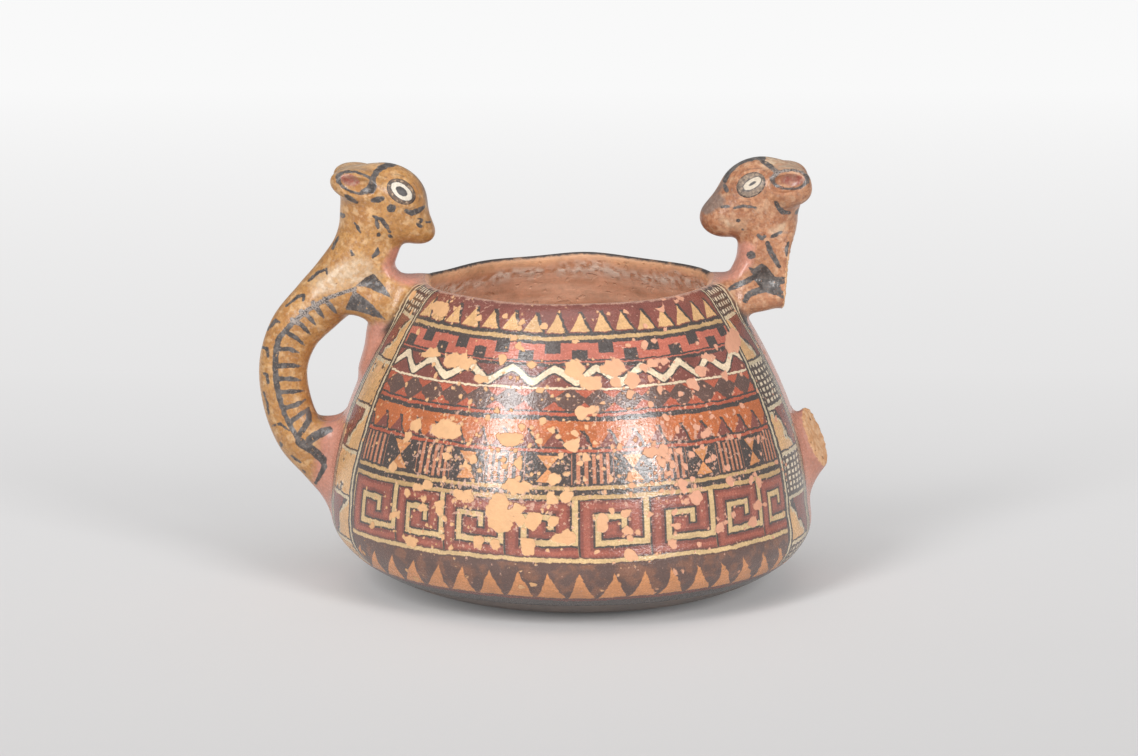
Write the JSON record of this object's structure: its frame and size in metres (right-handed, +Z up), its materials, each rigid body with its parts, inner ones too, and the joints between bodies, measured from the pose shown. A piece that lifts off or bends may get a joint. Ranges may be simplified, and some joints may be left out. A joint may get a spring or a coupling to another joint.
{
  "type": "cat-handled ceramic vessel",
  "caption": "Squat painted clay pot with a wide belly and open mouth; a whole cat forms the left handle, and only the head and foot of its broken twin remain on the right.",
  "frame": {"origin": "middle of the flat underside of the base", "axes": "+Z up along the pot's axis, -Y to the front, -X to the whole cat handle and +X to the broken one"},
  "size_m": [0.1895, 0.1586, 0.1404],
  "materials": {
    "painted_wall": "burnished slip paint in banded patterns, worn and flaked",
    "black_base": "burnished black slip",
    "left_cat_slip": "burnished ochre slip with black strokes",
    "right_cat_slip": "burnished orange-brown slip, raw clay at the breaks",
    "eye_slip": "white slip with a dark pupil and outline"
  },
  "bodies": {
    "root": {"base_disc": "black_base", "foot_wall": "painted_wall", "lower_wall": "painted_wall", "middle_wall": "painted_wall", "upper_wall": "painted_wall", "rim_coil": "painted_wall", "left_cat_body": "left_cat_slip", "left_cat_head": "left_cat_slip", "left_cat_near_ear": "left_cat_slip", "left_cat_far_ear": "left_cat_slip", "left_cat_near_eye": "eye_slip", "left_cat_far_eye": "eye_slip", "left_cat_near_foreleg": "left_cat_slip", "left_cat_far_foreleg": "left_cat_slip", "left_cat_near_hindleg": "left_cat_slip", "left_cat_far_hindleg": "left_cat_slip", "left_cat_chest": "left_cat_slip", "right_cat_neck": "right_cat_slip", "right_cat_head": "right_cat_slip", "right_cat_near_ear": "right_cat_slip", "right_cat_far_ear": "right_cat_slip", "right_cat_near_eye": "eye_slip", "right_cat_far_eye": "eye_slip", "right_cat_near_foreleg": "right_cat_slip", "right_cat_far_foreleg": "right_cat_slip", "right_cat_chest": "right_cat_slip", "right_handle_stub": "right_cat_slip"}
  },
  "joints": []
}
